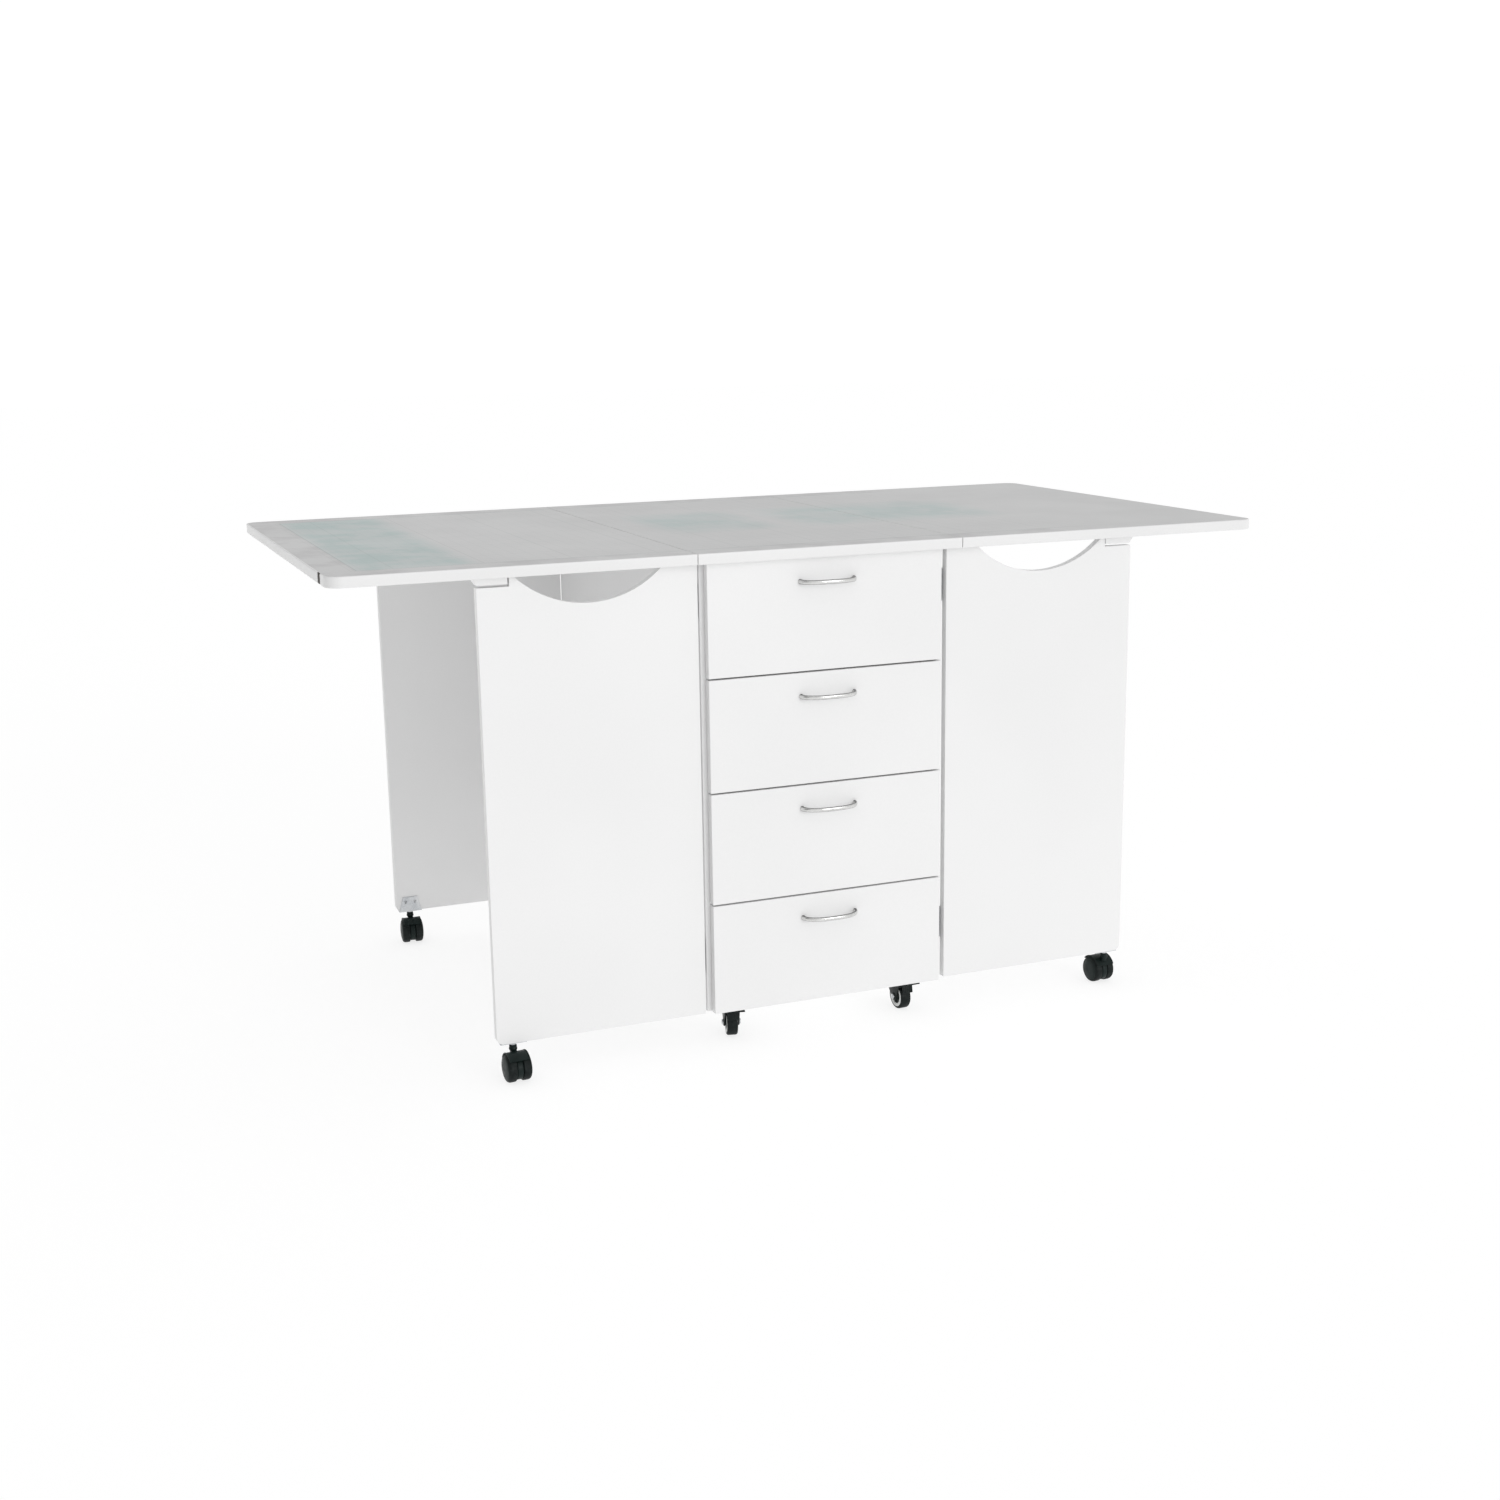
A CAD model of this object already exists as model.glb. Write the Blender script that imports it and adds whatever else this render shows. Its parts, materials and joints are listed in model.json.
"""Looks of the sewing and cutting table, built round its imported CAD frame. Metres throughout.

The white boards, the top panels, the hinges and the runners keep their CAD meshes and get
rounded edges and materials here. Casters, handles and edging are modelled in detail and
stand for their CAD nodes. Screws, cam caps and the raw board where a leaf's edging is open
are added as new pieces.
"""
import json
import math

import bmesh
import bpy
from mathutils import Matrix, Vector


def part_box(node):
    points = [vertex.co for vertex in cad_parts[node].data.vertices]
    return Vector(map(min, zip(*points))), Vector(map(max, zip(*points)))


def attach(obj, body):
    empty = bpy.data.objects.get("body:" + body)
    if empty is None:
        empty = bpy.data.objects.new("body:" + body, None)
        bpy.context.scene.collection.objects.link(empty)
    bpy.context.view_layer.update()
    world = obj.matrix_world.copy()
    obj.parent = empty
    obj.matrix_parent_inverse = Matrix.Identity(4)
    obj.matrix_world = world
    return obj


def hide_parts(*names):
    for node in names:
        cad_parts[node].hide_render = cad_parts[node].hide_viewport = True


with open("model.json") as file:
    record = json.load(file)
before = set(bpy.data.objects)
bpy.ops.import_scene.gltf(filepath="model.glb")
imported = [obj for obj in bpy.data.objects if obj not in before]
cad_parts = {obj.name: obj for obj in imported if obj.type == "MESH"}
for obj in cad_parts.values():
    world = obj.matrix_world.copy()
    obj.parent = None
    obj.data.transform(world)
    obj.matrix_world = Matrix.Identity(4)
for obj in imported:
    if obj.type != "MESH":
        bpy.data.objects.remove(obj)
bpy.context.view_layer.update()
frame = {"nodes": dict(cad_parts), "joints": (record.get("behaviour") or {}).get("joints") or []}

MM = 0.001
NODES = frame["nodes"]
CORNERS = {"front_left": (-1, -1), "front_right": (1, -1), "rear_left": (-1, 1), "rear_right": (1, 1)}
JOINTS = {j["name"]: j for j in frame["joints"]}
DRAWERS = sorted(n[:-len("_front")] for n in NODES if n.startswith("drawer_") and n.endswith("_front"))


# ---------------------------------------------------------------- node helpers

class Shader:
    """A material's node tree with its Principled shader and short calls to build on it."""

    def __init__(self, name, colour, roughness, metallic=0.0):
        self.material = bpy.data.materials.new(name)
        self.material.use_nodes = True
        self.tree = self.material.node_tree
        self.bsdf = self.tree.nodes["Principled BSDF"]
        self.bsdf.inputs["Base Color"].default_value = (*colour, 1.0)
        self.bsdf.inputs["Roughness"].default_value = roughness
        self.bsdf.inputs["Metallic"].default_value = metallic
        self.material.diffuse_color = (*colour, 1.0)
        coordinates = self.add("ShaderNodeTexCoord")
        self.place = coordinates.outputs["Object"]
        self.normal = coordinates.outputs["Normal"]

    def add(self, kind, **settings):
        node = self.tree.nodes.new(kind)
        for key, value in settings.items():
            setattr(node, key, value)
        return node

    def link(self, source, target):
        self.tree.links.new(source, target)

    def feed(self, socket, value):
        if hasattr(value, "is_output"):
            self.link(value, socket)
        else:
            socket.default_value = value

    def math(self, operation, a, b=0.0, c=0.0, clamp=False):
        node = self.add("ShaderNodeMath", operation=operation, use_clamp=clamp)
        for socket, value in zip(node.inputs, (a, b, c)):
            self.feed(socket, value)
        return node.outputs[0]

    def noise(self, scale, detail=3.0, roughness=0.5, place=None):
        node = self.add("ShaderNodeTexNoise")
        node.inputs["Scale"].default_value = scale
        node.inputs["Detail"].default_value = detail
        node.inputs["Roughness"].default_value = roughness
        self.link(place or self.place, node.inputs["Vector"])
        return node.outputs["Fac"]

    def stretched(self, scale):
        node = self.add("ShaderNodeMapping")
        node.inputs["Scale"].default_value = scale
        self.link(self.place, node.inputs["Vector"])
        return node.outputs["Vector"]

    def ramp(self, factor, low, high, from_low=0.0, from_high=1.0):
        node = self.add("ShaderNodeMapRange")
        for key, value in (("Value", factor), ("From Min", from_low), ("From Max", from_high),
                           ("To Min", low), ("To Max", high)):
            self.feed(node.inputs[key], value)
        return node.outputs["Result"]

    def mix(self, factor, a, b):
        node = self.add("ShaderNodeMix", data_type="RGBA")
        self.feed(node.inputs["Factor"], factor)
        for socket, value in ((node.inputs[6], a), (node.inputs[7], b)):
            self.feed(socket, (*value, 1.0) if isinstance(value, tuple) else value)
        return node.outputs[2]

    def colour(self, source):
        self.link(source, self.bsdf.inputs["Base Color"])

    def roughness(self, source):
        self.link(source, self.bsdf.inputs["Roughness"])

    def bump(self, height, strength, distance):
        node = self.add("ShaderNodeBump")
        node.inputs["Strength"].default_value = strength
        node.inputs["Distance"].default_value = distance
        self.link(height, node.inputs["Height"])
        self.link(node.outputs["Normal"], self.bsdf.inputs["Normal"])

    def set(self, **values):
        for key, value in values.items():
            self.bsdf.inputs[key.replace("_", " ")].default_value = value
        return self


# ---------------------------------------------------------------- materials

def melamine(name, low, high, roughness, pebble=850.0, strength=0.10):
    """White melamine or foil: faint tone drift, a pebbled press-plate texture and uneven gloss."""
    s = Shader(name, high, roughness)
    drift = s.noise(2.3, detail=2.0)
    speck = s.noise(260.0, detail=2.0)
    tone = s.math("MULTIPLY_ADD", speck, 0.25, s.math("MULTIPLY", drift, 0.75))
    s.colour(s.mix(s.ramp(tone, 0.0, 1.0, 0.3, 0.7), low, high))
    s.roughness(s.ramp(s.noise(5.0), roughness - 0.05, roughness + 0.07, 0.25, 0.75))
    s.bump(s.noise(pebble, detail=4.0, roughness=0.6), strength, 0.15 * MM)
    s.set(IOR=1.5)
    return s.material


def moulded_plastic(name, low, high, roughness, grain=620.0, strength=0.18, specular=0.5):
    """Moulded plastic with fine spark-eroded grain, slight cloudiness and rubbed gloss."""
    s = Shader(name, high, roughness)
    s.colour(s.mix(s.ramp(s.noise(38.0), 0.0, 1.0, 0.3, 0.7), low, high))
    s.roughness(s.ramp(s.noise(90.0, detail=5.0), roughness - 0.08, roughness + 0.14, 0.25, 0.75))
    s.bump(s.noise(grain, detail=4.0, roughness=0.65), strength, 0.12 * MM)
    s.set(Specular_IOR_Level=specular)
    return s.material


def plated_steel(name, low, high, roughness, along=(1.0, 1.0, 1.0), fine=1600.0):
    """Plated or brushed steel: directional scratches in gloss and relief, cloudy tone."""
    s = Shader(name, high, roughness, metallic=1.0)
    cloud = s.noise(55.0, detail=5.0)
    lines = s.noise(fine, detail=3.0, place=s.stretched(along))
    s.colour(s.mix(s.ramp(cloud, 0.0, 1.0, 0.3, 0.7), low, high))
    both = s.math("MULTIPLY_ADD", lines, 0.6, s.math("MULTIPLY", cloud, 0.4))
    s.roughness(s.ramp(both, roughness - 0.10, roughness + 0.14, 0.3, 0.7))
    s.bump(lines, 0.12, 0.05 * MM)
    return s.material


def handle_nickel(name, low, high, roughness):
    """Satin nickel brushed along the bar, darker where its upper and lower edges roll away."""
    s = Shader(name, high, roughness, metallic=1.0)
    lines = s.noise(1600.0, detail=3.0, place=s.stretched((0.04, 1.0, 1.0)))
    s.roughness(s.ramp(lines, roughness - 0.06, roughness + 0.12, 0.3, 0.7))
    split = s.add("ShaderNodeSeparateXYZ")
    s.link(s.normal, split.inputs[0])
    rolled = s.ramp(s.math("ABSOLUTE", split.outputs["Z"]), 0.0, 1.0, 0.50, 0.88)
    bright = s.mix(s.ramp(s.noise(55.0, detail=5.0), 0.0, 1.0, 0.3, 0.7), low, high)
    s.colour(s.mix(rolled, bright, (0.10, 0.10, 0.10)))
    s.bump(lines, 0.12, 0.05 * MM)
    return s.material


def powder_coat(name, low, high, roughness, specular=0.5):
    """Thin powder coat with orange peel."""
    s = Shader(name, high, roughness)
    s.colour(s.mix(s.ramp(s.noise(70.0), 0.0, 1.0, 0.3, 0.7), low, high))
    s.roughness(s.ramp(s.noise(160.0), roughness - 0.06, roughness + 0.10, 0.25, 0.75))
    s.bump(s.noise(900.0, detail=2.0), 0.25, 0.15 * MM)
    s.set(Specular_IOR_Level=specular)
    return s.material


def chipboard(name):
    """Raw particle board as it shows where the edging's ends meet."""
    s = Shader(name, (0.06, 0.05, 0.04), 0.9)
    chips = s.noise(700.0, detail=3.0)
    s.colour(s.mix(s.ramp(chips, 0.0, 1.0, 0.35, 0.65), (0.012, 0.010, 0.009), (0.075, 0.060, 0.045)))
    s.bump(chips, 0.6, 0.4 * MM)
    return s.material


def line_mask(s, coordinate, pitch, half_width):
    """1 on the lines that repeat every pitch along a coordinate, softened at their edges."""
    from_line = s.math("PINGPONG", coordinate, pitch / 2.0)
    return s.ramp(from_line, 1.0, 0.0, half_width * 0.6, half_width * 1.4)


def ring_mask(s, distance, at, half_width):
    """1 where a distance equals a value, within a half width."""
    off = s.math("ABSOLUTE", s.math("SUBTRACT", distance, at))
    return s.ramp(off, 1.0, 0.0, half_width * 0.7, half_width * 1.3)


def patch(s, coordinate, start, stop, soft):
    """1 between two values of a coordinate, with soft ends."""
    rise = s.ramp(coordinate, 0.0, 1.0, start - soft, start + soft)
    return s.math("MULTIPLY", rise, s.ramp(coordinate, 1.0, 0.0, stop - soft, stop + soft))


def printed_top(name, low_corner, high_corner):
    """Grey melamine printed with an inch grid, a ticked border and teal patches; white underneath."""
    inch = 25.4 * MM
    rim_width = 60 * MM
    s = Shader(name, (0.52, 0.53, 0.53), 0.36)
    split = s.add("ShaderNodeSeparateXYZ")
    s.link(s.place, split.inputs[0])
    x, y = split.outputs["X"], split.outputs["Y"]
    from_left = s.math("SUBTRACT", x, low_corner[0])
    from_right = s.math("SUBTRACT", high_corner[0], x)
    from_rear = s.math("SUBTRACT", high_corner[1], y)
    from_front = s.math("SUBTRACT", y, low_corner[1])
    from_ends = s.math("MINIMUM", from_left, from_right)
    rim = s.math("MINIMUM", from_ends, s.math("MINIMUM", from_front, from_rear))
    field = s.math("GREATER_THAN", rim, rim_width)

    thin = s.math("MAXIMUM", line_mask(s, x, inch, 0.35 * MM), line_mask(s, y, inch, 0.35 * MM))
    heavy = s.math("MAXIMUM", line_mask(s, x, 6 * inch, 0.7 * MM), line_mask(s, y, 6 * inch, 0.7 * MM))
    lines = s.math("MAXIMUM", s.math("MULTIPLY", thin, 0.45), s.math("MULTIPLY", heavy, 0.6))
    grid = s.math("MULTIPLY", lines, field)
    on_rim = s.math("LESS_THAN", rim, rim_width)
    in_ticks = s.math("MULTIPLY", s.math("GREATER_THAN", rim, 50 * MM), on_rim)
    quarters = s.math("MAXIMUM", line_mask(s, x, inch / 4, 0.3 * MM), line_mask(s, y, inch / 4, 0.3 * MM))
    ticks = s.math("MULTIPLY", quarters, in_ticks)
    ink = s.math("MAXIMUM", grid, s.math("MULTIPLY", ticks, 0.6))
    ink = s.math("MAXIMUM", ink, ring_mask(s, rim, rim_width, 0.9 * MM))
    # the print is fainter towards the right end
    faded = s.ramp(from_right, 0.0, 1.0, 0.25, 0.45)
    ink = s.math("MULTIPLY", ink, faded)

    cloud = s.noise(1.6, detail=2.0)
    ground = s.mix(s.ramp(cloud, 0.0, 1.0, 0.35, 0.65), GREY_PRINT[0], GREY_PRINT[1])
    mottle = s.ramp(s.noise(16.0, detail=3.0), 0.0, 1.0, 0.42, 0.60)
    middle = s.math("MAXIMUM", patch(s, from_left, 0.71, 0.91, 0.03), patch(s, from_left, 0.99, 1.39, 0.04))
    middle = s.math("MULTIPLY", middle, patch(s, from_rear, 0.30, 0.60, 0.05))
    left_zone = s.math("MULTIPLY", patch(s, from_left, 0.06, 0.25, 0.02), field)
    teal = s.math("MAXIMUM", left_zone, s.math("MULTIPLY", middle, 0.8))
    border = s.math("MULTIPLY", on_rim, faded)
    ground = s.mix(s.math("MULTIPLY", border, s.math("MULTIPLY", mottle, 0.35)), ground, (0.36, 0.345, 0.355))
    ground = s.mix(s.math("MULTIPLY", teal, s.ramp(mottle, 0.55, 1.0)), ground, TEAL_PRINT)
    ground = s.mix(s.ramp(s.noise(420.0, detail=2.0), 0.0, 0.12, 0.3, 0.7), ground, (0.32, 0.34, 0.34))
    printed = s.mix(s.math("MULTIPLY", ink, 0.55), ground, (0.22, 0.27, 0.265))
    facing = s.add("ShaderNodeSeparateXYZ")
    s.link(s.normal, facing.inputs[0])
    s.colour(s.mix(s.math("GREATER_THAN", facing.outputs["Z"], 0.5), (0.82, 0.82, 0.82), printed))
    s.roughness(s.ramp(s.noise(7.0), 0.33, 0.44, 0.25, 0.75))
    s.bump(s.noise(900.0, detail=4.0, roughness=0.6), 0.08, 0.15 * MM)
    return s.material


def tread_rubber(name):
    """Polyurethane tread with dust-scuffed roughness and fine mould lines."""
    s = Shader(name, (0.012, 0.014, 0.014), 0.5)
    dusty = s.ramp(s.noise(120.0, detail=6.0), 0.0, 1.0, 0.45, 0.75)
    s.colour(s.mix(dusty, (0.006, 0.009, 0.009), (0.017, 0.022, 0.021)))
    s.roughness(s.ramp(s.noise(60.0, detail=6.0), 0.38, 0.62, 0.25, 0.75))
    s.bump(s.noise(500.0, detail=5.0), 0.2, 0.15 * MM)
    s.set(Specular_IOR_Level=0.14)
    return s.material


GREY_PRINT = ((0.575, 0.575, 0.575), (0.615, 0.615, 0.615))
TEAL_PRINT = (0.41, 0.51, 0.50)
TOP_LOW = Vector((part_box("left_leaf_edging")[0].x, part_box("left_leaf_edging")[0].y, 0))
TOP_HIGH = Vector((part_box("right_leaf_edging")[1].x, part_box("right_leaf_edging")[1].y, 0))

LOOKS = {
    "top": printed_top("printed melamine top", TOP_LOW, TOP_HIGH),
    "board": melamine("white melamine board", (0.80, 0.80, 0.80), (0.84, 0.84, 0.84), 0.38),
    "edging": melamine("white edging", (0.765, 0.765, 0.765), (0.81, 0.81, 0.81), 0.32,
                       pebble=1500.0, strength=0.05),
    "drawer": melamine("white drawer foil", (0.74, 0.74, 0.735), (0.80, 0.80, 0.79), 0.5, pebble=500.0),
    "core": chipboard("particle board core"),
    "coated": powder_coat("white epoxy runner coat", (0.70, 0.70, 0.69), (0.78, 0.78, 0.77), 0.42),
    "zinc": plated_steel("zinc plate", (0.50, 0.52, 0.54), (0.68, 0.69, 0.70), 0.30, along=(1.0, 1.0, 0.2)),
    "nickel": handle_nickel("satin nickel", (0.62, 0.62, 0.61), (0.74, 0.74, 0.73), 0.25),
    "black_steel": powder_coat("black powder coat", (0.005, 0.008, 0.008), (0.011, 0.016, 0.015), 0.36,
                               specular=0.16),
    "black_nylon": moulded_plastic("black nylon", (0.005, 0.010, 0.009), (0.010, 0.018, 0.017), 0.38,
                                   specular=0.16),
    "tread": tread_rubber("black tread"),
    "ring": moulded_plastic("light grey wheel ring", (0.50, 0.51, 0.50), (0.62, 0.63, 0.62), 0.35,
                            grain=900.0, strength=0.08),
}


def dress(obj, look):
    obj.data.materials.clear()
    obj.data.materials.append(LOOKS[look])


# ---------------------------------------------------------------- mesh helpers

def new_object(name, mesh):
    obj = bpy.data.objects.new(name, mesh)
    bpy.context.scene.collection.objects.link(obj)
    return obj


def finish_mesh(name, bm, look, smooth=True):
    bmesh.ops.remove_doubles(bm, verts=bm.verts, dist=1e-6)
    bmesh.ops.recalc_face_normals(bm, faces=bm.faces)
    mesh = bpy.data.meshes.new(name)
    bm.to_mesh(mesh)
    bm.free()
    for polygon in mesh.polygons:
        polygon.use_smooth = smooth
    obj = new_object(name, mesh)
    dress(obj, look)
    return obj


def bevel(obj, width, segments=2, angle=35.0):
    modifier = obj.modifiers.new("edges", "BEVEL")
    modifier.width = width
    modifier.segments = segments
    modifier.limit_method = "ANGLE"
    modifier.angle_limit = math.radians(angle)
    modifier.harden_normals = False
    return modifier


def soften_cad(node, look, width, segments=2):
    """Gives a CAD node its material, and rounds its sharp edges with modifiers only."""
    obj = NODES[node]
    dress(obj, look)
    weld = obj.modifiers.new("weld", "WELD")
    weld.merge_threshold = 1e-6
    bevel(obj, width, segments)
    smooth = obj.modifiers.new("normals", "WEIGHTED_NORMAL")
    smooth.keep_sharp = True
    return obj


def join_as(name, parts, look=None):
    """Joins objects into one piece; each keeps its own material unless look is given."""
    bpy.ops.object.select_all(action="DESELECT")
    for part in parts:
        part.select_set(True)
    bpy.context.view_layer.objects.active = parts[0]
    bpy.ops.object.join()
    parts[0].name = name
    parts[0].data.name = name
    if look:
        dress(parts[0], look)
    return parts[0]


def apply_modifiers(obj):
    """Bakes the modifiers into the mesh, for pieces that are joined afterwards."""
    graph = bpy.context.evaluated_depsgraph_get()
    baked = bpy.data.meshes.new_from_object(obj.evaluated_get(graph))
    obj.modifiers.clear()
    obj.data = baked
    return obj


def lathe(name, profile, look, steps=64, axis="X"):
    """Revolves (distance along the axis, radius) points. A radius of 0 closes the end."""
    bm = bmesh.new()
    rings = []
    for along, radius in profile:
        if radius < 1e-7:
            rings.append([bm.verts.new((along, 0, 0))])
            continue
        ring = []
        for k in range(steps):
            angle = 2 * math.pi * k / steps
            ring.append(bm.verts.new((along, radius * math.cos(angle), radius * math.sin(angle))))
        rings.append(ring)
    for a, b in zip(rings, rings[1:]):
        for k in range(steps):
            corners = [a[k % len(a)], a[(k + 1) % len(a)], b[(k + 1) % len(b)], b[k % len(b)]]
            unique = list(dict.fromkeys(corners))
            if len(unique) > 2:
                bm.faces.new(unique)
    obj = finish_mesh(name, bm, look)
    if axis == "Z":
        obj.data.transform(Matrix.Rotation(-math.pi / 2, 4, "Y"))
    if axis == "Y":
        obj.data.transform(Matrix.Rotation(math.pi / 2, 4, "Z"))
    return obj


def prism(name, outline, low, high, look, plane="YZ"):
    """Extrudes a closed outline. In plane YZ it runs along X, in XZ along Y and in XY along Z."""
    def point(u, v, w):
        return {"YZ": (w, u, v), "XZ": (u, w, v), "XY": (u, v, w)}[plane]
    bm = bmesh.new()
    ends = [[bm.verts.new(point(u, v, w)) for u, v in outline] for w in (low, high)]
    for ring in ends:
        bm.faces.new(ring)
    count = len(outline)
    for k in range(count):
        bm.faces.new([ends[0][k], ends[0][(k + 1) % count], ends[1][(k + 1) % count], ends[1][k]])
    return finish_mesh(name, bm, look, smooth=False)


def in_mm(points):
    """Pairs given in millimetres, in metres."""
    return [(u * MM, v * MM) for u, v in points]


def arc(centre, radius, start, stop, count):
    """Points on an arc, angles in degrees."""
    angles = [math.radians(start + (stop - start) * k / (count - 1)) for k in range(count)]
    return [(centre[0] + radius * math.cos(a), centre[1] + radius * math.sin(a)) for a in angles]


def rounded_box(name, size, look, radius, centre=(0, 0, 0), segments=3):
    bm = bmesh.new()
    bmesh.ops.create_cube(bm, size=1.0)
    for v in bm.verts:
        v.co = Vector((v.co.x * size[0], v.co.y * size[1], v.co.z * size[2])) + Vector(centre)
    bmesh.ops.bevel(bm, geom=list(bm.edges), offset=radius, segments=segments, profile=0.5, affect="EDGES")
    return finish_mesh(name, bm, look)


def move(obj, matrix):
    obj.data.transform(matrix)
    return obj


def shade_auto(obj, angle=35.0):
    """Smooth shading with crisp edges above the angle."""
    limit = math.radians(angle)
    bm = bmesh.new()
    bm.from_mesh(obj.data)
    for edge in bm.edges:
        sharp = len(edge.link_faces) == 2 and edge.calc_face_angle(0.0) > limit
        edge.smooth = not sharp
    for face in bm.faces:
        face.smooth = True
    bm.to_mesh(obj.data)
    bm.free()
    return obj


def axis_frame(joint):
    """Where a caster joint sits, with local X along the axle and local Z up."""
    x = Vector(joint["axis"]).normalized()
    z = Vector((0, 0, 1))
    y = z.cross(x)
    turn = Matrix((x, y, z)).transposed().to_4x4()
    return Matrix.Translation(Vector(joint["pos_m"])) @ turn


# ---------------------------------------------------------------- gate casters

def spin_profile_ring(radius_in, radius_out, half, rounding):
    """Closed section of a rounded rectangular ring, for a partial turn."""
    points = []
    x, low, high = half - rounding, radius_in + rounding, radius_out - rounding
    for centre, start in (((x, high), 0), ((-x, high), 90), ((-x, low), 180), ((x, low), 270)):
        points += arc(centre, rounding, start, start + 90, 4)
    return points


def sweep_turn(name, section, start, stop, look, steps=28):
    """Turns a closed (x, radius) section about the X axis between two angles from +Y towards +Z."""
    bm = bmesh.new()
    rings = []
    for k in range(steps + 1):
        angle = math.radians(start + (stop - start) * k / steps)
        rings.append([bm.verts.new((x, r * math.cos(angle), r * math.sin(angle))) for x, r in section])
    count = len(section)
    for a, b in zip(rings, rings[1:]):
        for k in range(count):
            bm.faces.new([a[k], a[(k + 1) % count], b[(k + 1) % count], b[k]])
    bm.faces.new(rings[0])
    bm.faces.new(rings[-1])
    return finish_mesh(name, bm, look)


def gate_caster_hood(corner):
    """Hood, neck and stem of a twin-wheel caster, about its axle: X along the axle, Y along the trail."""
    node = corner + "_gate_caster_hood"
    roll = JOINTS[corner + "_gate_caster_roll"]
    turn = JOINTS[corner + "_gate_caster_turn"]
    trail = (Vector(roll["pos_m"]).xy - Vector(turn["pos_m"]).xy).length
    axle_z = roll["pos_m"][2]
    collar_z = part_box(corner + "_gate_fittings")[0].z - axle_z
    neck_r, body_r, stem_side_r = 6.8 * MM, 22.6 * MM, 24.4 * MM
    post_r = 5.2 * MM
    floor_cut = -19.0 * MM
    outline = arc((0, 0), body_r, -57, 96, 18)
    outline += [(-trail + post_r, 26.5 * MM), (-trail + post_r, 30 * MM), (-trail - post_r, 30 * MM)]
    outline += arc((0, 0), stem_side_r, 140, 231, 12)
    outline = [(u, max(v, floor_cut)) for u, v in outline]
    body = prism(node + "_body", outline, -5.4 * MM, 5.4 * MM, "black_nylon")
    bevel(body, 1.2 * MM, 3, 25)
    parts = [shade_auto(apply_modifiers(body))]
    roof_in, roof_start, roof_stop = 25.9 * MM, 42, 152
    roof_section = spin_profile_ring(roof_in, 27.6 * MM, 18.5 * MM, 0.8 * MM)
    roof = sweep_turn(node + "_roof", roof_section, roof_start, roof_stop, "black_nylon")
    parts.append(shade_auto(roof, 50))
    # ribs that carry the roof out over both treads
    brow_section = spin_profile_ring(roof_in, 28.2 * MM, 1.1 * MM, 0.5 * MM)
    for side in (-1, 1):
        brow = sweep_turn(node + "_brow", brow_section, roof_start, roof_stop, "black_nylon")
        move(brow, Matrix.Translation((side * 17.6 * MM, 0, 0)))
        parts.append(shade_auto(brow, 50))
    neck_profile = [(20 * MM, 0), (20 * MM, post_r), (26.6 * MM, post_r), (27.0 * MM, 6.9 * MM),
                    (28.0 * MM, 7.4 * MM), (30.0 * MM, 7.4 * MM), (31.0 * MM, neck_r),
                    (collar_z - 2.2 * MM, neck_r), (collar_z - 1.4 * MM, neck_r - 0.7 * MM),
                    (collar_z - 1.0 * MM, neck_r - 0.9 * MM), (collar_z - 1.0 * MM, 0)]
    neck = lathe(node + "_neck", neck_profile, "black_nylon", 48, "Z")
    parts.append(shade_auto(move(neck, Matrix.Translation((0, -trail, 0))), 40))
    stem_r, stem_top = 3.95 * MM, 59 * MM
    stem_profile = [(collar_z - 3 * MM, 0), (collar_z - 3 * MM, stem_r), (stem_top - 1 * MM, stem_r),
                    (stem_top, 3.0 * MM), (stem_top, 0)]
    stem = lathe(node + "_stem", stem_profile, "zinc", 32, "Z")
    parts.append(shade_auto(move(stem, Matrix.Translation((0, -trail, 0)))))
    hood = join_as("hood_" + corner, parts)
    move(hood, axis_frame(roll))
    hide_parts(node)
    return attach(hood, corner + "_gate_caster_swivel")


def gate_caster_wheels(corner):
    """The two domed wheels: rounded tread, groove round the cap, spoked inner side and a hub boss."""
    roll = JOINTS[corner + "_gate_caster_roll"]
    half_gap = 5.9 * MM
    radius = roll["pos_m"][2]
    # profiles in millimetres for a 25 mm radius: (outward from the wheel's inner side, radius)
    tread = [(0.0, 21.4), (0.2, 23.4), (1.0, 24.6), (2.4, 25.0), (9.6, 25.0), (12.0, 24.6),
             (13.8, 23.6), (15.0, 22.0), (15.3, 21.2)]
    cap = [(15.3, 21.2), (14.9, 20.7), (15.0, 20.1), (15.6, 19.7), (16.3, 17.4), (16.9, 14.0),
           (17.2, 9.0), (17.3, 4.2), (16.9, 3.9), (16.9, 0.0)]
    back = [(0.0, 21.4), (7.5, 20.6), (7.5, 7.2), (0.2, 6.8), (-0.2, 3.4), (7.0, 3.2), (7.0, 0.0)]
    shells = (("tread", tread, "tread"), ("cap", cap, "black_nylon"), ("back", back, "black_nylon"))
    scale = radius / (25.0 * MM)
    parts = []
    for side in (-1, 1):
        for label, profile, look in shells:
            points = [(side * (half_gap + along * MM), r * MM * scale) for along, r in profile]
            parts.append(shade_auto(lathe(corner + label, points, look, 72), 32))
        for k in range(6):
            rib = rounded_box(corner + "rib", (6.0 * MM, 1.4 * MM, 13.4 * MM), "black_nylon", 0.4 * MM,
                              (side * (half_gap + 4.2 * MM), 0, 13.8 * MM), 2)
            parts.append(move(rib, Matrix.Rotation(math.radians(60 * k), 4, "X")))
    wheels = join_as("twin_wheels_" + corner, parts)
    move(wheels, axis_frame(roll))
    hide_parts(corner + "_gate_caster_wheels")
    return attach(wheels, corner + "_gate_caster_wheel_pair")


# ---------------------------------------------------------------- cabinet casters

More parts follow.
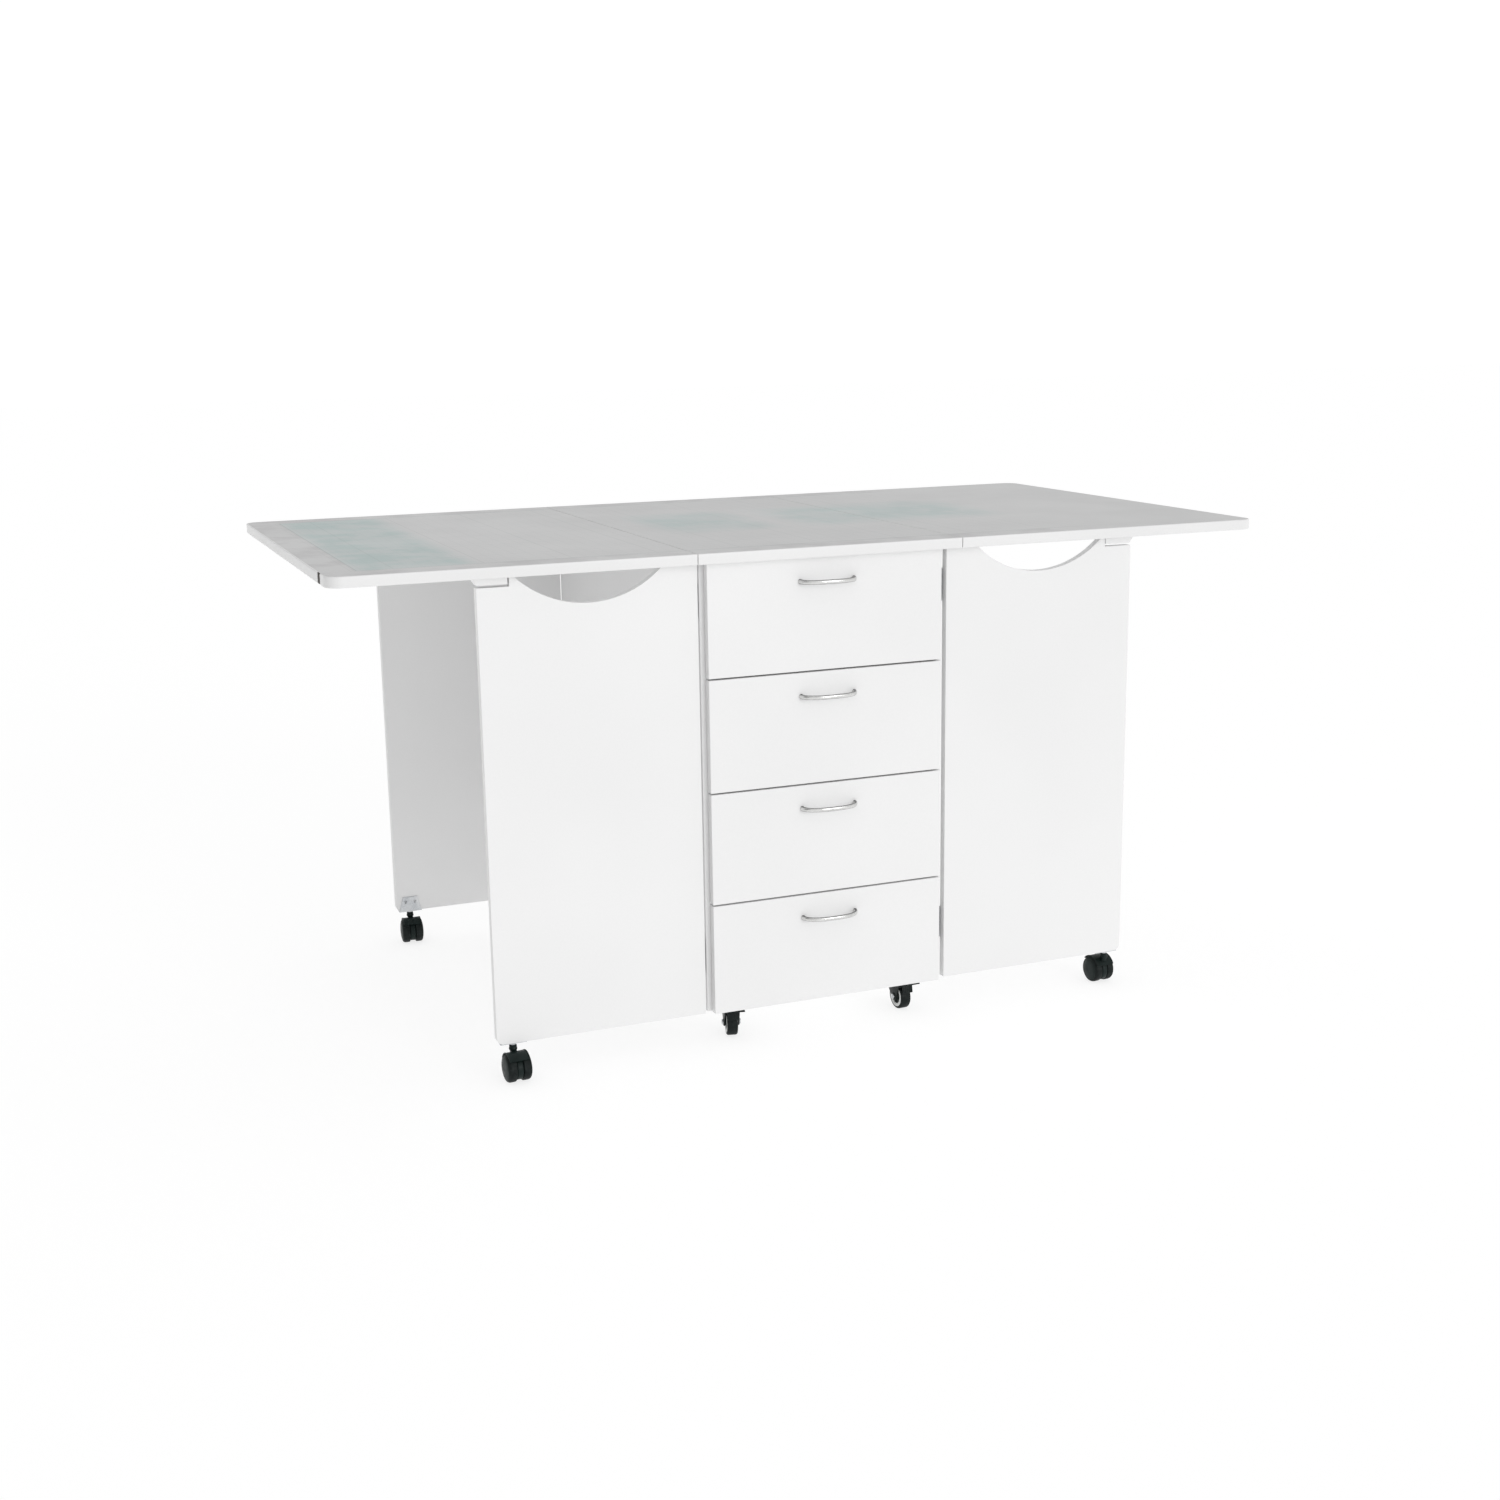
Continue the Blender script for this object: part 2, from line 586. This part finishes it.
def hexagon_nut(name, across, low, high, look="zinc"):
    radius = across / math.sqrt(3)
    angles = [math.radians(60 * k) for k in range(6)]
    outline = [(radius * math.cos(a), radius * math.sin(a)) for a in angles]
    nut = prism(name, outline, low, high, look)
    bevel(nut, 0.4 * MM, 2, 25)
    return shade_auto(apply_modifiers(nut))


def caster_fork(corner):
    """Pressed fork with raceway cups, two cheeks with rolled rims, the kingpin rivet and the axle bolt."""
    roll = JOINTS[corner + "_caster_roll"]
    turn = JOINTS[corner + "_caster_turn"]
    trail = (Vector(roll["pos_m"]).xy - Vector(turn["pos_m"]).xy).length
    axle_z = roll["pos_m"][2]
    plate_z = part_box("caster_plates")[0].z
    crown = plate_z - 6.5 * MM - axle_z
    cheek_in, cheek_t = 12.0 * MM, 2.2 * MM
    outline = [(-trail - 14 * MM, crown), (-trail - 14 * MM, crown - 6 * MM)]
    outline += arc((0, 0), 8.0 * MM, 205, 335, 12)
    outline += [(19.5 * MM, 24.6 * MM), (20 * MM, 27 * MM), (19 * MM, 30.2 * MM)]
    outline += [(10 * MM, crown - 0.5 * MM), (-trail + 16 * MM, crown)]
    outer = cheek_in + cheek_t
    rim_profile = [(outer - 0.4 * MM, 7.6 * MM), (outer + 0.5 * MM, 7.2 * MM),
                   (outer + 0.6 * MM, 6.2 * MM), (outer - 0.4 * MM, 5.9 * MM)]
    parts = []
    for side in (-1, 1):
        cheek = prism("cheek", outline, side * cheek_in, side * outer, "black_steel")
        bevel(cheek, 0.7 * MM, 3, 25)
        parts.append(shade_auto(apply_modifiers(cheek)))
        rim = lathe("axle_rim", [(side * along, r) for along, r in rim_profile], "black_steel", 40)
        parts.append(shade_auto(rim))
    # turned parts about the kingpin, in millimetres: (above the crown, radius)
    cups = [(-1.0, 0.0), (-1.0, 20.4), (-0.4, 21.2), (1.4, 21.4), (2.6, 21.0), (2.9, 19.6),
            (3.1, 16.4), (4.0, 16.0), (5.3, 17.6), (5.9, 18.4), (6.0, 0.0)]
    bearing = [(3.2, 16.3), (3.3, 18.6), (3.9, 18.8), (4.2, 16.3)]
    rivet = [(-4.0, 0), (-3.8, 3.0), (-2.8, 5.0), (-1.0, 5.6), (0, 5.6), (0, 0)]
    turned = (("raceway", cups, "black_steel", 64, 35), ("bearing_ring", bearing, "zinc", 64, 180),
              ("kingpin_rivet", rivet, "zinc", 32, 35))
    for name, profile, look, steps, crease in turned:
        part = lathe(name, [(crown + along * MM, r * MM) for along, r in profile], look, steps, "Z")
        parts.append(shade_auto(move(part, Matrix.Translation((0, -trail, 0))), crease))
    parts.append(hexagon_nut("axle_nut", 9.2 * MM, outer, outer + 3.5 * MM))
    parts.append(hexagon_nut("axle_head", 9.2 * MM, -outer - 3.2 * MM, -outer))
    bolt_start, bolt_end = -outer - 3.4 * MM, outer + 3.9 * MM
    shaft = [(bolt_start, 0), (bolt_start, 2.6 * MM), (-outer, 2.95 * MM), (outer, 2.95 * MM),
             (bolt_end, 2.6 * MM), (bolt_end, 0)]
    parts.append(shade_auto(lathe("axle", shaft, "zinc", 32)))
    fork = join_as("fork_" + corner, parts)
    move(fork, axis_frame(roll))
    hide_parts(corner + "_caster_fork")
    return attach(fork, corner + "_caster_swivel")


def caster_wheel(corner):
    """Black tread on a core with a light grey ring on each face, spokes, and a hub with its bearing cover."""
    roll = JOINTS[corner + "_caster_roll"]
    # profiles in millimetres: (along the axle from the wheel's middle, radius)
    tread = [(-10.0, 20.2), (-10.2, 21.6), (-9.8, 23.2), (-8.4, 24.6), (-6.6, 25.0), (6.6, 25.0),
             (8.4, 24.6), (9.8, 23.2), (10.2, 21.6), (10.0, 20.2)]
    face = [(10.0, 20.3), (10.5, 19.6), (10.6, 18.0), (10.4, 15.6), (9.9, 14.6), (9.0, 14.2)]
    hub = [(9.0, 14.2), (7.2, 13.4), (7.0, 9.0), (9.6, 7.6), (11.2, 7.0), (11.4, 6.4), (11.4, 3.3)]
    parts = [shade_auto(lathe("tread", in_mm(tread), "tread", 72), 32)]
    for side in (-1, 1):
        parts.append(shade_auto(lathe("ring", [(side * a * MM, r * MM) for a, r in face], "ring", 72), 50))
        hub_profile = [(side * a * MM, r * MM) for a, r in hub]
        parts.append(shade_auto(lathe("hub", hub_profile, "black_nylon", 48), 40))
        for k in range(5):
            spoke = rounded_box("spoke", (2.2 * MM, 1.8 * MM, 6.4 * MM), "black_nylon", 0.5 * MM,
                                (side * 7.8 * MM, 0, 11.0 * MM), 2)
            parts.append(move(spoke, Matrix.Rotation(math.radians(72 * k + 18), 4, "X")))
    wheel = join_as("wheel_" + corner, parts)
    move(wheel, axis_frame(roll))
    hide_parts(corner + "_caster_wheel")
    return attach(wheel, corner + "_caster_roller")


def pressed_plate(name, outline, half, rounding=0.5):
    """A plate bent from sheet: its side view in millimetres from the pivot, half each way across."""
    plate = prism(name, in_mm(outline), -half, half, "black_steel")
    bevel(plate, rounding * MM, 3, 25)
    return shade_auto(apply_modifiers(plate))


def brake_pedal(corner):
    """Pressed foot lever: rolled pivot, wide toe plate, ribbed apron in front of the wheel and brake shoe."""
    press = JOINTS[corner + "_brake_press"]
    arm_half, toe_half, apron_half = 11.2 * MM, 21.5 * MM, 10.2 * MM
    # side views in millimetres from the pivot: (towards the toe, up)
    arm = [(-0.5, 1.7), (0.5, 3.2), (8.5, 4.0), (8.5, 1.9), (1.7, 1.2)]
    toe = [(6.6, 1.8), (20.6, 3.1), (21.6, 3.5), (21.9, 4.5), (21.4, 5.6), (20.2, 5.8), (7.2, 4.2),
           (6.6, 3.6)]
    apron = [(9.2, 1.9), (12.4, 2.3), (14.7, -13.2), (14.2, -13.8), (12.9, -13.8), (12.5, -13.4)]
    shoe = [(-1.6, -1.5), (3.0, -1.5), (3.3, -5.8), (2.7, -6.2), (0.9, -5.5), (0.5, -5.0)]
    apron_rib = [(12.4, 1.6), (12.9, 1.6), (15.2, -12.6), (14.4, -12.9)]
    parts = [pressed_plate("arm", arm, arm_half, 0.3),
             pressed_plate("toe", toe, toe_half),
             pressed_plate("apron", apron, apron_half),
             pressed_plate("shoe", shoe, arm_half - 0.6 * MM, 0.3)]
    for k in range(-2, 3):
        rib = pressed_plate("rib", apron_rib, 0.8 * MM, 0.2)
        parts.append(move(rib, Matrix.Translation((4.2 * k * MM, 0, 0))))
    grip_size = (2 * toe_half - 6 * MM, 1.3 * MM, 0.9 * MM)
    for k in range(3):
        at = (0, (10.5 + 4.2 * k) * MM, (4.72 + 0.49 * k) * MM)
        parts.append(rounded_box("grip", grip_size, "black_steel", 0.35 * MM, at, 2))
    bore_r, barrel_r = 1.55 * MM, 3.4 * MM
    barrel = [(-arm_half, bore_r), (-arm_half, barrel_r), (arm_half, barrel_r), (arm_half, bore_r)]
    parts.append(shade_auto(lathe("pivot_barrel", barrel, "black_steel", 32)))
    pin = [(-14.2, 0), (-14.1, 1.3), (-13.8, 1.5), (13.8, 1.5), (14.1, 1.3), (14.2, 0)]
    parts.append(shade_auto(lathe("pivot_pin", in_mm(pin), "zinc", 24)))
    pedal = join_as("pedal_" + corner, parts)
    turn = axis_frame(JOINTS[corner + "_caster_roll"]).to_3x3().to_4x4()
    move(pedal, Matrix.Translation(Vector(press["pos_m"])) @ turn)
    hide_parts(corner + "_brake_pedal")
    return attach(pedal, corner + "_caster_brake")


def plate_screws():
    """Pan-head screws in the four holes of each caster plate."""
    seat_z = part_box("caster_plates")[0].z
    for corner in CORNERS:
        king = Vector(JOINTS[corner + "_caster_turn"]["pos_m"])
        parts = []
        for dx in (-22 * MM, 22 * MM):
            for dy in (-17 * MM, 17 * MM):
                at = (king.x + dx, king.y + dy, seat_z)
                parts.append(screw_head(at, (0, 0, -1), 4.2 * MM, 2.4 * MM))
        screws = join_as("plate_screws_" + corner, parts)
        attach(screws, "cabinet")


def screw_head(at, normal, radius, height, look="zinc"):
    """A domed cross-recess screw head whose seat is at a point, facing along a normal."""
    dome = [(-height * 0.9, 0), (-height * 0.9, radius * 0.45), (0, radius * 0.55), (0, radius),
            (height * 0.35, radius * 0.97), (height * 0.72, radius * 0.74), (height * 0.95, radius * 0.42),
            (height, 0)]
    head = lathe("screw", dome, look, 24)
    slots = []
    for k in range(2):
        bar = rounded_box("slot", (height * 0.5, radius * 1.05, radius * 0.24), "black_steel", radius * 0.05,
                          (height * 0.78, 0, 0), 1)
        slots.append(move(bar, Matrix.Rotation(math.radians(45 + 90 * k), 4, "X")))
    joined = join_as("screw", [shade_auto(head, 50)] + slots)
    turn = Vector(normal).to_track_quat("X", "Z").to_matrix().to_4x4()
    return move(joined, Matrix.Translation(Vector(at)) @ turn)


# ---------------------------------------------------------------- handles

FOOT_R = 4.5 * MM


def bow_handle(drawer):
    """Satin bow handle: an even oval bar that flows into two round feet."""
    low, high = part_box(drawer + "_handle")
    face_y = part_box(drawer + "_front")[0].y
    centre = (low + high) / 2
    half_span = (high.x - low.x) / 2 - FOOT_R
    reach = face_y - low.y - 2.6 * MM
    steps = 56
    section_steps = 20
    bm = bmesh.new()
    path = []
    for k in range(steps + 1):
        angle = math.pi * k / steps
        bow = math.sin(angle)
        x = -half_span * math.copysign(abs(math.cos(angle)) ** 0.82, math.cos(angle))
        y = -reach * bow ** 0.86
        path.append(Vector((x, y, 0)))
    loops = []
    for k, point in enumerate(path):
        ahead = path[min(k + 1, steps)] - path[max(k - 1, 0)]
        ahead = Vector((0, -1 if k == 0 else 1, 0)) if k in (0, steps) else ahead.normalized()
        across = Vector((ahead.y, -ahead.x, 0))
        end = abs(2.0 * k / steps - 1.0)
        half_h = (3.9 + 0.5 * end ** 3) * MM
        half_t = (2.3 + 1.9 * end ** 5) * MM
        loop = []
        for s in range(section_steps):
            a = 2 * math.pi * s / section_steps
            offset = across * half_t * math.cos(a) + Vector((0, 0, half_h * math.sin(a)))
            loop.append(bm.verts.new(point + offset))
        loops.append(loop)
    for a, b in zip(loops, loops[1:]):
        for s in range(section_steps):
            bm.faces.new([a[s], a[(s + 1) % section_steps], b[(s + 1) % section_steps], b[s]])
    bm.faces.new(loops[0])
    bm.faces.new(loops[-1])
    bar = finish_mesh("bar", bm, "nickel")
    parts = [bar]
    foot_profile = [(0, 0), (0, FOOT_R), (0.9 * MM, FOOT_R), (1.7 * MM, 4.3 * MM), (2.0 * MM, 4.0 * MM),
                    (2.0 * MM, 0)]
    for side in (-1, 1):
        foot = lathe("foot", foot_profile, "nickel", 32, "Y")
        foot.data.transform(Matrix.Rotation(math.pi, 4, "Z"))
        parts.append(shade_auto(move(foot, Matrix.Translation((side * half_span, 0, 0)))))
    handle = join_as("handle_" + drawer, parts)
    move(handle, Matrix.Translation((centre.x, face_y, centre.z)))
    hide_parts(drawer + "_handle")
    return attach(handle, drawer)


def handle_screws(drawer):
    """The two machine screws that hold the handle, seen from inside the drawer."""
    low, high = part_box(drawer + "_handle")
    box_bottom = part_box(drawer + "_box")[0].z
    inner_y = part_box(drawer + "_front")[1].y + 12 * MM
    half_span = (high.x - low.x) / 2 - FOOT_R
    z = (low.z + high.z) / 2
    if z > box_bottom + 150 * MM:
        inner_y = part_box(drawer + "_front")[1].y
    parts = [screw_head((side * half_span, inner_y, z), (0, 1, 0), 4.4 * MM, 2.0 * MM) for side in (-1, 1)]
    screws = join_as("handle_screws_" + drawer, parts)
    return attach(screws, drawer)


# ---------------------------------------------------------------- edging of the top

# depth behind the outline and height above the underside, in millimetres, round a bull-nosed strip
EDGING_SECTION = [(2.0, 19.0), (1.5, 18.96), (1.0, 18.8), (0.55, 18.45), (0.2, 17.9), (0.04, 17.2),
                  (0.0, 16.2), (0.0, 2.8), (0.04, 1.8), (0.2, 1.1), (0.55, 0.55), (1.0, 0.2),
                  (1.5, 0.04), (2.0, 0.0)]
CORNER_R = 27 * MM
JOINT_LOW, JOINT_HIGH = 390 * MM, 414 * MM    # where a leaf's edging is open, in Y on the +X leaf


def edging_piece(name, node, paths, body):
    """Sweeps the edging section along plan paths, each a function of the depth behind the outline."""
    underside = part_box(node)[0].z
    bm = bmesh.new()
    for path in paths:
        loops = []
        for depth, height in EDGING_SECTION:
            loops.append([bm.verts.new((x, y, underside + height * MM)) for x, y in path(depth * MM)])
        for a, b in zip(loops, loops[1:] + loops[:1]):
            for k in range(len(a) - 1):
                bm.faces.new([a[k], a[k + 1], b[k + 1], b[k]])
        for end in (0, -1):
            bm.faces.new([loop[end] for loop in loops])
    strip = shade_auto(finish_mesh(name, bm, "edging"), 50)
    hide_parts(node)
    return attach(strip, body)


def center_edging():
    """The strips on the front and rear edges of the middle panel."""
    low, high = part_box("center_top_edging")
    paths = [lambda depth: [(low.x, low.y + depth), (high.x, low.y + depth)],
             lambda depth: [(high.x, high.y - depth), (low.x, high.y - depth)]]
    return edging_piece("edging_center", "center_top_edging", paths, "cabinet")


def leaf_edging(side):
    """Two strips round a leaf's outer sides, made for the +X leaf and turned half round for the other."""
    low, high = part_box("right_leaf_edging")
    turn = 1 if side == "right" else -1

    def front(depth):
        bend = arc((high.x - CORNER_R, low.y + CORNER_R), CORNER_R - depth, 270, 360, 15)
        run = [(low.x, low.y + depth)] + bend + [(high.x - depth, JOINT_LOW)]
        return [(turn * x, turn * y) for x, y in run]

    def rear(depth):
        bend = arc((high.x - CORNER_R, high.y - CORNER_R), CORNER_R - depth, 0, 90, 15)
        run = [(high.x - depth, JOINT_HIGH)] + bend + [(low.x, high.y - depth)]
        return [(turn * x, turn * y) for x, y in run]

    return edging_piece("edging_" + side, side + "_leaf_edging", [front, rear], side + "_leaf_assembly")


def edging_joint(side):
    """Raw board seen where a leaf's edging is open."""
    low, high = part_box("right_leaf_edging")
    turn = 1 if side == "right" else -1
    size = (0.9 * MM, JOINT_HIGH - JOINT_LOW - 0.1 * MM, 18.2 * MM)
    at = (turn * (high.x - 1.5 * MM), turn * (JOINT_LOW + JOINT_HIGH) / 2, (low.z + high.z) / 2)
    core = rounded_box("edging_joint_" + side, size, "core", 0.2 * MM, at, 2)
    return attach(core, side + "_leaf_assembly")


# ---------------------------------------------------------------- screws of hinges, brackets and blocks

def gate_screws(corner):
    """Flat screws of a gate's hinge plates and of its caster bracket."""
    sx, sy = CORNERS[corner]
    pin = Vector(JOINTS[corner + "_gate_swing"]["pos_m"])
    stem = Vector(JOINTS[corner + "_gate_caster_turn"]["pos_m"])
    plates_low, plates_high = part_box("gate_hinge_cabinet_plates")
    hinge_l = 60 * MM
    gate_low, gate_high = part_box(corner + "_gate")
    inner_y = gate_high.y if sy < 0 else gate_low.y
    on_gate, on_cabinet = [], []
    for bottom in (plates_low.z, plates_high.z - hinge_l):
        for share in (0.2, 0.8):
            z = bottom + hinge_l * share
            at_gate = (pin.x + sx * 13.4 * MM, inner_y - sy * 1.0 * MM, z)
            at_cabinet = (sx * (abs(pin.x) - 1.75 * MM), pin.y - sy * 12.4 * MM, z)
            on_gate.append(screw_head(at_gate, (0, -sy, 0), 3.1 * MM, 0.55 * MM))
            on_cabinet.append(screw_head(at_cabinet, (sx, 0, 0), 3.1 * MM, 0.55 * MM))
    for dx in (-10 * MM, 10 * MM):
        at = (stem.x + dx, inner_y - sy * 1.4 * MM, gate_low.z + 20 * MM)
        on_gate.append(screw_head(at, (0, -sy, 0), 3.6 * MM, 1.6 * MM))
    groups = (("gate_screws_", on_gate, corner + "_gate_assembly"),
              ("cabinet_screws_", on_cabinet, "cabinet"))
    for name, parts, body in groups:
        screws = join_as(name + corner, parts)
        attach(screws, body)


def leaf_screws(side):
    """Flat screws of a leaf's hinges, on the leaf and on the middle panel, and of its stop blocks."""
    sx = -1 if side == "left" else 1
    pin = Vector(JOINTS[side + "_leaf_lift"]["pos_m"])
    low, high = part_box(side + "_leaf_hinge_plates")
    block_low, block_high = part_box(side + "_leaf_stop_blocks")
    hinge_l = 76 * MM
    plate_z = high.z - 1.1 * MM
    down = (0, 0, -1)
    on_leaf, on_centre = [], []
    for start in (low.y, high.y - hinge_l):
        for share in (0.2, 0.8):
            y = start + hinge_l * share
            on_leaf.append(screw_head((pin.x + sx * 18.65 * MM, y, plate_z), down, 3.6 * MM, 0.9 * MM))
            on_centre.append(screw_head((pin.x - sx * 10.65 * MM, y, plate_z), down, 3.6 * MM, 0.9 * MM))
    block_x = (block_low.x + block_high.x) / 2
    for dx in (-14 * MM, 6 * MM):
        for y in (block_low.y + 8.5 * MM, block_high.y - 8.5 * MM):
            at = (block_x + sx * dx, y, block_low.z + 0.5 * MM)
            on_leaf.append(screw_head(at, down, 3.4 * MM, 0.9 * MM))
    groups = (("leaf_screws_", on_leaf, side + "_leaf_assembly"), ("centre_screws_", on_centre, "cabinet"))
    for name, parts, body in groups:
        screws = join_as(name + side, parts)
        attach(screws, body)


# ---------------------------------------------------------------- cabinet details

def cam_caps():
    """Push-in caps over the cam fittings, on the inner faces of the rear bays."""
    bottom_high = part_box("bottom_panel")[1]
    divider_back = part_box("divider_panel")[1].y
    profile = in_mm([(0, 0), (0, 8.6), (0.7, 8.5), (1.1, 7.8), (1.25, 6.0), (1.3, 0)])
    parts = []
    for sx in (-1, 1):
        for y in (divider_back + 60 * MM, bottom_high.y - 60 * MM):
            at = Vector((sx * (bottom_high.x - 34 * MM), y, bottom_high.z))
            cap = lathe("cap", profile, "edging", 40, "Z")
            parts.append(shade_auto(move(cap, Matrix.Translation(at))))
    caps = join_as("cam_caps", parts)
    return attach(caps, "cabinet")


def runner_screws():
    """Screws that hold each runner to its side panel, at the front stretch that an open drawer shows."""
    parts = []
    side_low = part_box("right_side_panel")[0]
    for drawer in DRAWERS:
        box_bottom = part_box(drawer + "_box")[0].z
        for sx in (-1, 1):
            for step in (38 * MM, 102 * MM, 230 * MM):
                at = (sx * (side_low.x - 1.1 * MM), side_low.y + step, box_bottom + 21 * MM)
                parts.append(screw_head(at, (-sx, 0, 0), 3.3 * MM, 0.9 * MM))
    screws = join_as("runner_screws", parts)
    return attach(screws, "cabinet")


# ---------------------------------------------------------------- build

BOARDS = ["left_side_panel", "right_side_panel", "bottom_panel", "divider_panel", "top_rails", "shelves",
          "left_leaf_stop_blocks", "right_leaf_stop_blocks"]
BOARDS += [corner + "_gate" for corner in CORNERS] + [drawer + "_front" for drawer in DRAWERS]
HARDWARE = ["leaf_hinge_center_plates", "gate_hinge_cabinet_plates", "hinge_pins", "left_leaf_hinge_plates",
            "right_leaf_hinge_plates", "shelf_pins"] + [corner + "_gate_fittings" for corner in CORNERS]

for node in ("center_top", "left_leaf", "right_leaf"):
    dress(NODES[node], "top")
for node in BOARDS:
    soften_cad(node, "board", 0.7 * MM, 3)
for drawer in DRAWERS:
    soften_cad(drawer + "_box", "drawer", 0.4 * MM, 2)
for node in HARDWARE:
    soften_cad(node, "zinc", 0.15 * MM, 1)
soften_cad("drawer_runners", "coated", 0.2 * MM, 1)
soften_cad("caster_plates", "black_steel", 0.5 * MM, 2)

center_edging()
for side in ("left", "right"):
    leaf_edging(side)
    edging_joint(side)
    leaf_screws(side)
for corner in CORNERS:
    gate_caster_hood(corner)
    gate_caster_wheels(corner)
    caster_fork(corner)
    caster_wheel(corner)
    gate_screws(corner)
for corner in ("front_left", "front_right"):
    brake_pedal(corner)
plate_screws()
for drawer in DRAWERS:
    bow_handle(drawer)
    handle_screws(drawer)
cam_caps()
runner_screws()


# ---------------------------------------------------------------- studio

def studio_floor():
    mesh = bpy.data.meshes.new("floor")
    half = 30.0
    corners = [(-half, -half, 0), (half, -half, 0), (half, half, 0), (-half, half, 0)]
    mesh.from_pydata(corners, [], [(0, 1, 2, 3)])
    floor = new_object("floor", mesh)
    s = Shader("studio floor", (0.26, 0.26, 0.26), 0.9)
    s.colour(s.mix(s.noise(0.8), (0.259, 0.259, 0.259), (0.261, 0.261, 0.261)))
    s.set(Specular_IOR_Level=0.0, Emission_Color=(1.0, 1.0, 1.0, 1.0), Emission_Strength=0.79)
    floor.data.materials.append(s.material)


def soft_sun(name, towards, strength, spread):
    """A large soft light, far away. towards is the direction it shines in, spread its width in degrees."""
    data = bpy.data.lights.new(name, "SUN")
    data.energy = strength
    data.angle = math.radians(spread)
    light = bpy.data.objects.new(name, data)
    light.rotation_euler = Vector(towards).to_track_quat("-Z", "Y").to_euler()
    bpy.context.scene.collection.objects.link(light)


def studio_lights():
    """A bright white surround, dimmer towards -X, and one soft key from the front right."""
    world = bpy.data.worlds.new("studio")
    world.use_nodes = True
    tree = world.node_tree
    background = tree.nodes["Background"]
    background.inputs["Color"].default_value = (1.0, 1.0, 1.0, 1.0)
    direction = tree.nodes.new("ShaderNodeSeparateXYZ")
    tree.links.new(tree.nodes.new("ShaderNodeTexCoord").outputs["Generated"], direction.inputs[0])
    dimming = tree.nodes.new("ShaderNodeMapRange")
    dimming.interpolation_type = "SMOOTHSTEP"
    for key, value in (("From Min", -0.98), ("From Max", -0.55), ("To Min", 0.12), ("To Max", 0.81)):
        dimming.inputs[key].default_value = value
    tree.links.new(direction.outputs["X"], dimming.inputs["Value"])
    # the surround itself is seen evenly white from every side
    seen = tree.nodes.new("ShaderNodeLightPath").outputs["Is Camera Ray"]
    strength = tree.nodes.new("ShaderNodeMix")
    tree.links.new(seen, strength.inputs["Factor"])
    tree.links.new(dimming.outputs["Result"], strength.inputs["A"])
    strength.inputs["B"].default_value = 1.05
    tree.links.new(strength.outputs["Result"], background.inputs["Strength"])
    bpy.context.scene.world = world
    soft_sun("key", (-0.33, 0.93, -0.22), 0.64, 26)


def studio_camera():
    """The viewing angle: turned right of the drawer side's normal and looking down a little."""
    place = Vector((-1.3892, -3.5507, 1.3070))
    yaw, pitch, roll = 0.3786, 0.2225, -0.0153
    ahead = Vector((math.sin(yaw) * math.cos(pitch), math.cos(yaw) * math.cos(pitch), -math.sin(pitch)))
    level = Vector((math.cos(yaw), -math.sin(yaw), 0))
    over = level.cross(ahead)
    right = level * math.cos(roll) + over * math.sin(roll)
    up = over * math.cos(roll) - level * math.sin(roll)
    data = bpy.data.cameras.new("camera")
    data.sensor_width = 36.0
    data.lens = 46.44
    data.clip_end = 200.0
    camera = bpy.data.objects.new("camera", data)
    bpy.context.scene.collection.objects.link(camera)
    camera.matrix_world = Matrix.Translation(place) @ Matrix((right, up, -ahead)).transposed().to_4x4()
    bpy.context.scene.camera = camera


studio_floor()
studio_lights()
studio_camera()
bpy.context.scene.view_settings.view_transform = "Standard"
